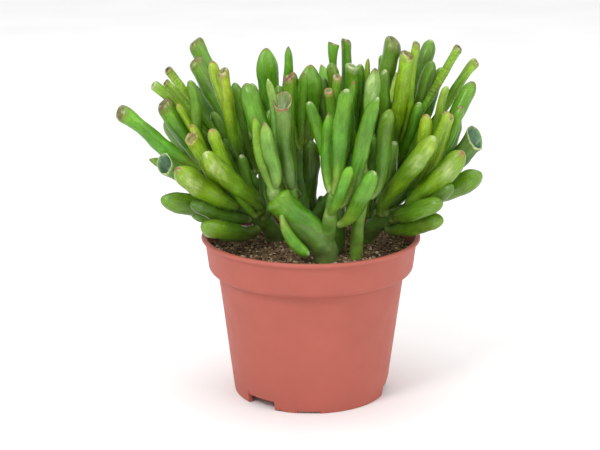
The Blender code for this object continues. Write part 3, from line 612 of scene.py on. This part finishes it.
class Graph:
    """A material's nodes, with the piece's own coordinates as their source."""

    def __init__(self, name):
        self.material = bpy.data.materials.new(name)
        self.material.use_nodes = True
        self.nodes, self.links = self.material.node_tree.nodes, self.material.node_tree.links
        self.shader = self.nodes["Principled BSDF"]
        self.place = self.nodes.new("ShaderNodeTexCoord").outputs["Object"]

    def attribute(self, name, output):
        node = self.nodes.new("ShaderNodeAttribute")
        node.attribute_name = name
        return node.outputs[output]

    def noise(self, scale, detail, rough=0.5, source=None):
        node = self.nodes.new("ShaderNodeTexNoise")
        for name, value in (("Scale", scale), ("Detail", detail), ("Roughness", rough)):
            node.inputs[name].default_value = value
        self.links.new(source or self.place, node.inputs["Vector"])
        return node.outputs["Fac"]

    def remap(self, value, low, high, from_low=0.3, from_high=0.7):
        node = self.nodes.new("ShaderNodeMapRange")
        ends = {"From Min": from_low, "From Max": from_high, "To Min": low, "To Max": high}
        for name, end in ends.items():
            node.inputs[name].default_value = end
        self.links.new(value, node.inputs["Value"])
        return node.outputs["Result"]

    def multiply(self, a, b):
        node = self.nodes.new("ShaderNodeMath")
        node.operation = "MULTIPLY"
        self.links.new(a, node.inputs[0])
        self.links.new(b, node.inputs[1])
        return node.outputs["Value"]

    def bump(self, height, strength, distance, normal=None):
        node = self.nodes.new("ShaderNodeBump")
        node.inputs["Strength"].default_value = strength
        node.inputs["Distance"].default_value = distance
        self.links.new(height, node.inputs["Height"])
        if normal is not None:
            self.links.new(normal, node.inputs["Normal"])
        return node.outputs["Normal"]

    def tinted(self, brightness):
        """The mesh's own tint, made lighter and darker by a value about 1."""
        node = self.nodes.new("ShaderNodeVectorMath")
        node.operation = "SCALE"
        self.links.new(self.attribute("tint", "Color"), node.inputs[0])
        self.links.new(brightness, node.inputs["Scale"])
        return node.outputs["Vector"]

    def finish(self, joined, constants):
        """Joins outputs to the shader, sets its constants and gives the material."""
        for name, output in joined.items():
            self.links.new(output, self.shader.inputs[name])
        for name, value in constants.items():
            self.shader.inputs[name].default_value = value
        return self.material


def leaf_material():
    leaf = Graph("waxy_leaf")
    speckle = leaf.nodes.new("ShaderNodeTexVoronoi")
    speckle.inputs["Scale"].default_value = 900.0
    leaf.links.new(leaf.place, speckle.inputs["Vector"])
    dots = leaf.remap(speckle.outputs["Distance"], 1.20, 0.95, 0.0, 0.5)
    cloud = leaf.remap(leaf.noise(260.0, 4.0), 0.86, 1.14)
    grain = leaf.attribute("grain", "Vector")
    streaks = leaf.noise(900.0, 4.0, 0.6, grain)
    shade = leaf.multiply(leaf.multiply(dots, cloud), leaf.remap(streaks, 0.80, 1.22))
    # Painted shade: the colour darkens where the surface turns away from the camera, and is a little lighter
    # where it faces it
    edges = leaf.nodes.new("ShaderNodeLayerWeight")
    edges.inputs["Blend"].default_value = 0.4
    shade = leaf.multiply(shade, leaf.remap(edges.outputs["Facing"], 1.08, 0.70, 0.1, 0.95))
    wax = leaf.remap(leaf.noise(420.0, 3.0, source=grain), 0.20, 0.42)
    normal = leaf.bump(leaf.noise(330.0, 2.0), 0.35, 0.0005)
    normal = leaf.bump(streaks, 0.40, 0.0003, normal)
    normal = leaf.bump(leaf.noise(1500.0, 3.0), 0.35, 0.00015, normal)
    return leaf.finish(
        {"Base Color": leaf.tinted(shade), "Roughness": wax, "Normal": normal},
        {"Subsurface Weight": 0.15, "Subsurface Radius": FLESH, "Subsurface Scale": 0.003,
         "Specular IOR Level": 0.42, "Coat Weight": 0.08, "Coat Roughness": 0.2})


def stem_material():
    stem = Graph("fleshy_stem")
    cloud = stem.remap(stem.noise(210.0, 5.0, 0.6), 0.72, 1.22)
    rough = stem.remap(cloud, 0.58, 0.40, 0.7, 1.2)
    normal = stem.bump(stem.noise(420.0, 4.0), 0.5, 0.0005)
    return stem.finish(
        {"Base Color": stem.tinted(cloud), "Roughness": rough, "Normal": normal},
        {"Subsurface Weight": 0.12, "Subsurface Radius": FLESH, "Subsurface Scale": 0.002})


def pot_material():
    pot = Graph("matte_terracotta_plastic")
    cloud = pot.remap(pot.noise(38.0, 5.0, 0.6), 0.95, 1.05)
    rough = pot.remap(pot.noise(90.0, 4.0), 0.48, 0.62)
    normal = pot.bump(pot.noise(1400.0, 3.0), 0.20, 0.00012)
    return pot.finish({"Base Color": pot.tinted(cloud), "Roughness": rough, "Normal": normal},
                      {"Specular IOR Level": 0.35})


def soil_material():
    soil = Graph("loose_peat")
    cloud = soil.remap(soil.noise(700.0, 5.0, 0.7), 0.45, 1.5)
    normal = soil.bump(soil.noise(1500.0, 5.0, 0.7), 0.9, 0.0006)
    return soil.finish({"Base Color": soil.tinted(cloud), "Normal": normal},
                       {"Roughness": 0.92, "Specular IOR Level": 0.15})


def floor_material():
    ground = Graph("pale_floor")
    cloud = ground.remap(ground.noise(6.0, 2.0), 0.90, 0.94)
    colour = ground.nodes.new("ShaderNodeCombineColor")
    for channel in ("Red", "Green", "Blue"):
        ground.links.new(cloud, colour.inputs[channel])
    return ground.finish({"Base Color": colour.outputs["Color"]},
                         {"Roughness": 0.8, "Specular IOR Level": 0.1})


MATERIALS = {
    "leaf": leaf_material(), "stem": stem_material(), "pot": pot_material(), "soil": soil_material(),
    "floor": floor_material(),
}


def keep(obj, slot, *nodes):
    """The piece has its slot's material, is part of the body and takes the place of these CAD nodes."""
    obj.data.materials.append(MATERIALS[slot])
    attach(obj, "root")
    if nodes:
        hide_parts(*nodes)


# Leaves

NECK_FROM = 3 * MM
FOOT_DEPTH = 1.2 * MM
LINE_SAMPLES = 14
SETTLING_ROUNDS = 45
BEND_MOST, TIP_MOST = 5 * MM, 4 * MM


def wood_points():
    """All vertices of the CAD stems."""
    stems = [node for name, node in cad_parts.items() if name.startswith("stem")]
    return np.vstack([places(node.data.vertices) for node in stems])


def cad_leaf_lines(wood):
    """Centre line and girth of each CAD leaf, running from its stem to its tip."""
    lines = {}
    for name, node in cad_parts.items():
        if not name.startswith("leaf"):
            continue
        rings = leaf_rings(node)
        first = np.linalg.norm(wood - rings[0, :3], axis=1).min()
        last = np.linalg.norm(wood - rings[-1, :3], axis=1).min()
        if last < first:
            rings = rings[::-1]
        line = catmull_rom(rings[:, :3], LINE_POINTS)
        lean = np.array(LEANS.get(name.removeprefix("leaf_"), (0, 0, 0)))
        line += np.linspace(0, 1, LINE_POINTS)[:, None] * lean * MM
        lines[name] = (line, rings[:, 3].max())
    return lines


def rooted(line, wood):
    """The line with its foot drawn into the stem beside it, by a short curved neck where it starts apart."""
    away = np.linalg.norm(wood - line[0], axis=1)
    nearest = wood[away.argmin()]
    if away.min() < NECK_FROM:
        start = line[0] - unit(line[2] - line[0]) * FOOT_DEPTH
        return np.vstack([start * 0.75 + nearest * 0.25, line])
    turn = len(line) // 6
    t = np.linspace(0, 1, 10)[:-1, None]
    neck = nearest * (1 - t) ** 2 + line[0] * 2 * t * (1 - t) + line[turn] * t ** 2
    return np.vstack([neck, line[turn:]])


def small_leaf_controls(foot, tip, off=(0, 0, 0)):
    """Four points that draw a smaller leaf's centre line, first away from its stem and then to its tip."""
    a, d = above_soil(foot), above_soil(tip)
    out = unit((d - a) * (1, 1, 0.35))
    reach = np.linalg.norm(d - a)
    controls = np.array([a, a + out * reach * 0.2 + (d - a) * 0.1, a + (d - a) * 0.66, d])
    controls[1:3] += np.array(off) * MM
    return controls


def small_leaf_lines(cad_lines):
    """Centre lines of the smaller leaves, bent a little to stand clear of the others."""
    samples = 10
    shares = np.linspace(0, 1, LINE_SAMPLES)
    fixed = np.vstack([read_along(line, shares)[0] for line, _ in cad_lines.values()])
    fixed_r = np.repeat([girth for _, girth in cad_lines.values()], LINE_SAMPLES) * 0.84
    start = [small_leaf_controls(row[:3], row[3:6], *row[8:]) for row in SMALL_LEAVES]
    controls = [control.copy() for control in start]
    girths = np.array([row[6] * MM for row in SMALL_LEAVES])
    t = np.linspace(0, 1, samples)
    near_mid, near_end = (3 * (1 - t) * t ** 2)[:, None], (t ** 3)[:, None]
    owner = np.repeat(np.arange(len(controls)), samples)
    apart = owner[:, None] != owner[None, :]
    radii = np.repeat(girths, samples) * 0.86
    for _ in range(SETTLING_ROUNDS):
        centres = np.vstack([bezier(*control, samples) for control in controls])
        shift = np.zeros_like(centres)
        for others, other_r, mask, share in ((fixed, fixed_r, 1.0, 0.35), (centres, radii, apart, 0.2)):
            between = centres[:, None] - others[None, :]
            distance = np.sqrt((between ** 2).sum(axis=2)) + 1e-9
            short = np.clip(radii[:, None] + other_r[None, :] - distance, 0, None) * mask / distance
            shift += (between * short[:, :, None]).sum(axis=1) * share
        for index, control in enumerate(controls):
            own = shift[owner == index]
            control[2] = within(control[2] + (near_mid * own).sum(axis=0) * 0.5, start[index][2], BEND_MOST)
            control[3] = within(control[3] + (near_end * own).sum(axis=0) * 0.5, start[index][3], TIP_MOST)
    for index, row in enumerate(SMALL_LEAVES):
        if row[7].startswith("block"):
            controls[index] = start[index]
    return [(bezier(*control, LINE_POINTS), girth) for control, girth in zip(controls, girths)]


def build_leaves():
    """All leaves, and the points at which they leave their stems."""
    wood = wood_points()
    cad_lines = cad_leaf_lines(wood)
    feet = []
    for index, (name, (line, girth)) in enumerate(sorted(cad_lines.items())):
        place = name.removeprefix("leaf_")
        group, number = place.split("_")
        look = LOOKS[group][int(number) - 1].split()
        girth *= FULLER.get(place, FULLNESS)
        leaf = leaf_mesh(f"grown_{name}", rooted(line, wood), girth, *look, index + 1, place in HIGHLIGHTED_LEAVES)
        keep(leaf, "leaf", name)
        feet.append(line[0])
    for index, (line, girth) in enumerate(small_leaf_lines(cad_lines)):
        look = SMALL_LEAVES[index][7].split()
        leaf = leaf_mesh(f"small_leaf_{index + 1}", rooted(line, wood), girth, *look, index + 101)
        keep(leaf, "leaf")
        feet.append(line[0])
    return np.array(feet)


# Stems

def build_stems(feet):
    """The CAD stems with their facets smoothed, an uneven skin, and swellings at the leaves' feet."""
    for name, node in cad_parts.items():
        if not name.startswith("stem"):
            continue
        rough = add_object(f"{name}_rough", node.data.copy())
        weld = rough.modifiers.new("weld", "WELD")
        weld.merge_threshold = SAME_POINT
        remesh = rough.modifiers.new("remesh", "REMESH")
        remesh.mode = "VOXEL"
        remesh.voxel_size = STEM_GRID
        even = rough.modifiers.new("even", "SMOOTH")
        even.iterations = SMOOTHINGS
        even.factor = 0.5
        depsgraph = bpy.context.evaluated_depsgraph_get()
        smooth = bpy.data.meshes.new_from_object(rough.evaluated_get(depsgraph))
        bpy.data.objects.remove(rough, do_unlink=True)
        points = places(smooth.vertices)
        normals = np.array([tuple(v.normal) for v in smooth.vertices])
        to_foot = np.linalg.norm(points[:, None] - feet[None, :], axis=2).min(axis=1)
        bumps = noise_at(points, 7 * MM, 2) * 0.55 * MM + noise_at(points, 2.6 * MM, 4) * 0.16 * MM
        swelling = np.exp(-(to_foot / (3.6 * MM)) ** 2) * 0.5 * MM
        points = points + normals * (bumps + swelling)[:, None]
        colours = stem_colours(points, to_foot, name == "stem_side")
        faces = [tuple(p.vertices) for p in smooth.polygons]
        keep(mesh_object(f"grown_{name}", points, faces, colours), "stem", name)


def stem_colours(points, to_foot, fresh):
    """Grey-green at the soil, greener above, with pale rings where older leaves grew."""
    height = points[:, 2] - SOIL_LEVEL
    old = srgb(108, 146, 44) if fresh else srgb(94, 118, 54)
    young = srgb(104, 152, 36) if fresh else srgb(88, 136, 34)
    colour = mix(old, young, smoothstep(0.0, 26 * MM, height + noise_at(points, 9 * MM, 11) * 6 * MM))
    wave = height / LEAF_SCAR_GAP + noise_at(points, 14 * MM, 13) * 0.9
    ring = smoothstep(0.10, 0.0, np.abs(wave - np.round(wave)))
    colour = mix(colour, srgb(128, 120, 84), ring * 0.45)
    colour = mix(colour, FOOT_PALE, np.exp(-(to_foot / (2.6 * MM)) ** 2) * 0.7)
    return colour


# Pot

def arc(centre_r, centre_z, radius, start, stop, count):
    """Points of the section on an arc between two angles."""
    angles = np.radians(np.linspace(start, stop, count))
    return [(centre_r + radius * math.cos(a), centre_z + radius * math.sin(a)) for a in angles]


def pot_profile():
    """The pot's section from the middle of its floor, inside, over the lip, down and under the foot."""
    top, channel, foot_r = POT_HEIGHT, CHANNEL_HEIGHT, FOOT_RADIUS
    band_top = RIM_RADIUS - LIP_OVERHANG
    band_low = band_top - BAND_TAPER
    body_top = band_low - BAND_STEP
    step_z = top - BAND_HEIGHT
    shoulder = SHOULDER_DEPTH
    inside = [
        (0.0, WALL), (PAD_RADIUS, WALL), (PAD_RADIUS + 1.5 * MM, channel + WALL),
        (foot_r - 2.5 * MM, channel + WALL), (foot_r - WALL, channel + 3 * MM), (body_top - WALL, step_z),
        (body_top - WALL + 0.6 * MM, step_z + 1.0 * MM),
        *arc(band_low - WALL - shoulder, step_z + shoulder + 0.6 * MM, shoulder, -62, 0, 8),
        (band_top - WALL - 0.5 * MM, top - 6 * MM), (band_top - WALL, top - LIP_DEPTH),
    ]
    lip = [
        (band_top - WALL + 0.25 * MM, top - 0.7 * MM), (band_top - 0.4 * MM, top - 0.12 * MM),
        *arc(RIM_RADIUS - LIP_DEPTH / 2, top - LIP_DEPTH / 2, LIP_DEPTH / 2, 95, -75, 14),
        (band_top + 0.25 * MM, top - LIP_DEPTH - 0.15 * MM),
    ]
    outside = [
        (band_top, top - LIP_DEPTH - 0.9 * MM), (band_top - BAND_TAPER * 0.5, top - BAND_HEIGHT * 0.45),
        (band_low, step_z + shoulder), *arc(band_low - shoulder, step_z + shoulder, shoulder, -6, -76, 12),
        (body_top + 0.45 * MM, step_z - 0.05 * MM), (body_top + 0.08 * MM, step_z - 0.45 * MM),
        (body_top - 0.02 * MM, step_z - 1.4 * MM),
        *((foot_r + (body_top - foot_r) * f, step_z * f) for f in (0.75, 0.5, 0.25, 0.12)),
    ]
    foot = [
        (foot_r + 0.25 * MM, 2.2 * MM), *arc(foot_r - 0.8 * MM, 0.8 * MM, 0.8 * MM, 0, -90, 7),
        (foot_r - FOOT_WALL + 0.4 * MM, 0.0), (foot_r - FOOT_WALL, 0.4 * MM),
    ]
    under = [(foot_r - FOOT_WALL, channel), (PAD_RADIUS + 1.8 * MM, channel), (PAD_RADIUS, 0.0), (0.0, 0.0)]
    return inside, lip, outside, foot, under


def foot_lift(azimuth):
    """How far the foot's lower edge is raised at this azimuth, in degrees from the front towards +X."""
    lift = 0.0
    for centre, width, height in NOTCHES + NICKS:
        away = abs((azimuth - centre + 180) % 360 - 180)
        if away < width / 2:
            lift = max(lift, height)
    return lift


def build_pot():
    inside, lip, outside, foot, under = pot_profile()
    azimuths = list(np.arange(0.0, 360.0, AZIMUTH_STEP))
    for centre, width, _ in NOTCHES + NICKS:
        for edge in (centre - width / 2, centre + width / 2):
            azimuths += [(edge - EDGE_STEP) % 360, (edge + EDGE_STEP) % 360]
    azimuths.sort()
    profile = inside + lip + outside + foot + under
    lip_from = len(inside)
    foot_from = len(inside + lip + outside)
    foot_to = foot_from + len(foot)
    # light is the lip's colour with its painted highlight
    plastic, light = srgb(*POT_COLOUR), srgb(*LIP_HIGHLIGHT_COLOUR)
    points, colours = [], []
    for azimuth in azimuths:
        a = math.radians(azimuth)
        lift = foot_lift(azimuth)
        for index, (r, z) in enumerate(profile):
            if foot_from <= index < foot_to:
                z = max(z + lift * (1 - min(z, 2.2 * MM) / (6 * MM)), z)
                z = min(z, max(CHANNEL_HEIGHT - 0.02 * MM, z if lift == 0 else 0))
            # The wall is a little out of round
            if r > 0.03:
                r += 0.10 * MM * math.sin(3 * a + z * 60) * (z / POT_HEIGHT)
            points.append((r * math.sin(a), -r * math.cos(a), z))
            colours.append(light if lip_from <= index < lip_from + len(lip) else plastic)
    count = len(profile)
    faces = []
    for column in range(len(azimuths)):
        here, after = column * count, (column + 1) % len(azimuths) * count
        faces += [(here + k, here + k + 1, after + k + 1, after + k) for k in range(count - 1)]
    pot = mesh_object("grown_pot", points, faces, np.array(colours))
    face_outwards(pot.data, 2 * SAME_POINT)
    pot.data.shade_smooth()
    pot.data.set_sharp_from_angle(angle=math.radians(38))
    keep(pot, "pot", "pot")


# Soil

def soil_height(x, y):
    """Height of the bed, which is a little domed, with lumps, crumbs and grit."""
    r = math.hypot(x, y) / SOIL_RADIUS
    lump = noise.noise(Vector((x, y, 0.0)) / (9 * MM)) * 1.1 * MM
    crumb = noise.noise(Vector((x, y, 3.0)) / (2.4 * MM)) * 0.7 * MM
    grit = noise.noise(Vector((x, y, 7.0)) / (0.9 * MM)) * 0.35 * MM
    return SOIL_LEVEL + 1.4 * MM * (1 - r * r) + lump + crumb + grit


def build_soil():
    rings, sides = SOIL_RINGS, SOIL_SIDES
    points = [(0.0, 0.0, soil_height(0.0, 0.0))]
    for ring in range(1, rings + 1):
        r = SOIL_RADIUS * ring / rings
        for side in range(sides):
            a = 2 * math.pi * side / sides
            x, y = r * math.cos(a), r * math.sin(a)
            points.append((x, y, soil_height(x, y)))
    faces = [(0, 1 + side, 1 + (side + 1) % sides) for side in range(sides)]
    faces += [tuple(1 + v for v in quad) for quad in grid_faces(rings, sides)]
    points.extend((p[0], p[1], SOIL_LEVEL - SOIL_SKIRT) for p in points[-sides:])
    start = 1 + (rings - 1) * sides
    faces += [(start + s, start + (s + 1) % sides, start + sides + (s + 1) % sides, start + sides + s)
              for s in range(sides)]
    points = np.array(points)
    mixup = noise_at(points, 3.0 * MM, 21)[:, None]
    colours = srgb(108, 88, 66) * (1 + 1.1 * mixup)
    soil = mesh_object("peat_bed", points, faces, np.clip(colours, 0.002, 1))
    face_outwards(soil.data)
    keep(soil, "soil", "soil")


CRUMB_TINTS = (
    srgb(84, 66, 48), srgb(124, 100, 76), srgb(56, 42, 32), srgb(160, 134, 104), srgb(196, 172, 138),
    srgb(214, 196, 164),
)


def crumb_spot(rng):
    """A place on the bed, anywhere with the same chance."""
    r = (SOIL_RADIUS - 0.8 * MM) * math.sqrt(rng.random())
    a = rng.uniform(0, 2 * math.pi)
    return r * math.cos(a), r * math.sin(a)


def build_crumbs():
    """Loose granules of peat and bark lying on the bed."""
    rng = random.Random(CRUMB_SEED)
    stone = bmesh.new()
    bmesh.ops.create_icosphere(stone, subdivisions=1, radius=1.0)
    stone.verts.ensure_lookup_table()
    base = places(stone.verts)
    base_faces = [tuple(v.index for v in f.verts) for f in stone.faces]
    stone.free()
    points, faces, colours = [], [], []
    for crumb in range(CRUMBS):
        x, y = crumb_spot(rng)
        size = rng.choice(CRUMB_SIZES) * MM * rng.uniform(0.7, 1.2)
        stretch = np.array([rng.uniform(0.6, 1.5), rng.uniform(0.6, 1.2), rng.uniform(0.45, 0.8)])
        turn = rng.uniform(0, math.pi)
        c, s = math.cos(turn), math.sin(turn)
        spin = np.array([[c, -s, 0], [s, c, 0], [0, 0, 1]])
        jag = np.array([rng.uniform(0.72, 1.15) for _ in base])[:, None]
        start = crumb * len(base)
        points.append((base * jag * stretch * size) @ spin.T + (x, y, soil_height(x, y) + size * 0.2))
        faces.extend(tuple(start + v for v in face) for face in base_faces)
        tint = CRUMB_TINTS[min(int(rng.random() ** 1.5 * len(CRUMB_TINTS)), len(CRUMB_TINTS) - 1)]
        colours.append(np.tile(tint * rng.uniform(0.6, 1.2), (len(base), 1)))
    crumbs = mesh_object("peat_crumbs", np.vstack(points), faces, np.vstack(colours), smooth=False)
    keep(crumbs, "soil")


def build_fibres():
    """Short pale fibres and roots lying in the peat."""
    rng = random.Random(FIBRE_SEED)
    points, faces, colours = [], [], []
    for _ in range(FIBRES):
        x, y = crumb_spot(rng)
        if math.hypot(x, y) > SOIL_RADIUS - 4 * MM:
            continue
        length = rng.uniform(1.5, 6.0) * MM
        heading = rng.uniform(0, 2 * math.pi)
        curl = rng.uniform(-1.2, 1.2)
        thick = rng.uniform(0.07, 0.18) * MM
        tint = srgb(168, 138, 100) * rng.uniform(0.45, 1.15)
        start = len(points)
        for k in range(FIBRE_RINGS):
            s = k / (FIBRE_RINGS - 1)
            angle = heading + curl * (s - 0.5)
            px = x + math.cos(angle) * length * (s - 0.5)
            py = y + math.sin(angle) * length * (s - 0.5)
            pz = soil_height(px, py) + thick + 0.35 * MM
            for side in range(FIBRE_SIDES):
                a = side * math.pi / 2
                points.append((px - math.sin(angle) * math.cos(a) * thick,
                               py + math.cos(angle) * math.cos(a) * thick, pz + math.sin(a) * thick))
                colours.append(tint)
        faces.extend(tuple(start + v for v in quad) for quad in grid_faces(FIBRE_RINGS, FIBRE_SIDES))
    keep(mesh_object("peat_fibres", np.array(points), faces, np.array(colours)), "soil")


# Stage

def build_stage():
    """Pale floor, even light from around and three soft lamps."""
    mesh = bpy.data.meshes.new("floor")
    shape = bmesh.new()
    bmesh.ops.create_grid(shape, x_segments=2, y_segments=2, size=4.0)
    shape.to_mesh(mesh)
    shape.free()
    mesh.materials.append(MATERIALS["floor"])
    floor = add_object("floor", mesh)
    world = bpy.data.worlds.new("studio")
    world.use_nodes = True
    sky = world.node_tree.nodes["Background"]
    sky.inputs["Color"].default_value = (1.0, 1.0, 1.0, 1.0)
    sky.inputs["Strength"].default_value = SKY_STRENGTH
    bpy.context.scene.world = world
    for name, (place, size, power) in LAMPS.items():
        light = bpy.data.lights.new(name, "AREA")
        light.size = size
        light.energy = power
        lamp = add_object(name, light)
        lamp.location = place
        lamp.rotation_euler = (Vector((0, 0, 0.1)) - Vector(place)).to_track_quat("-Z", "Y").to_euler()


def build_camera():
    data = bpy.data.cameras.new("front_view")
    data.lens = CAMERA_LENS
    data.sensor_width = CAMERA_SENSOR
    data.clip_start = 0.01
    camera = add_object("front_view", data)
    ahead = Vector((0.0, math.cos(CAMERA_PITCH), -math.sin(CAMERA_PITCH)))
    camera.location = CAMERA_TARGET - ahead * CAMERA_DISTANCE
    camera.rotation_euler = (math.radians(90) - CAMERA_PITCH, 0.0, 0.0)
    bpy.context.scene.camera = camera
    bpy.context.scene.view_settings.view_transform = "Standard"


build_camera()
build_stage()
build_stems(build_leaves())
build_pot()
build_soil()
build_crumbs()
build_fibres()
bpy.context.view_layer.update()
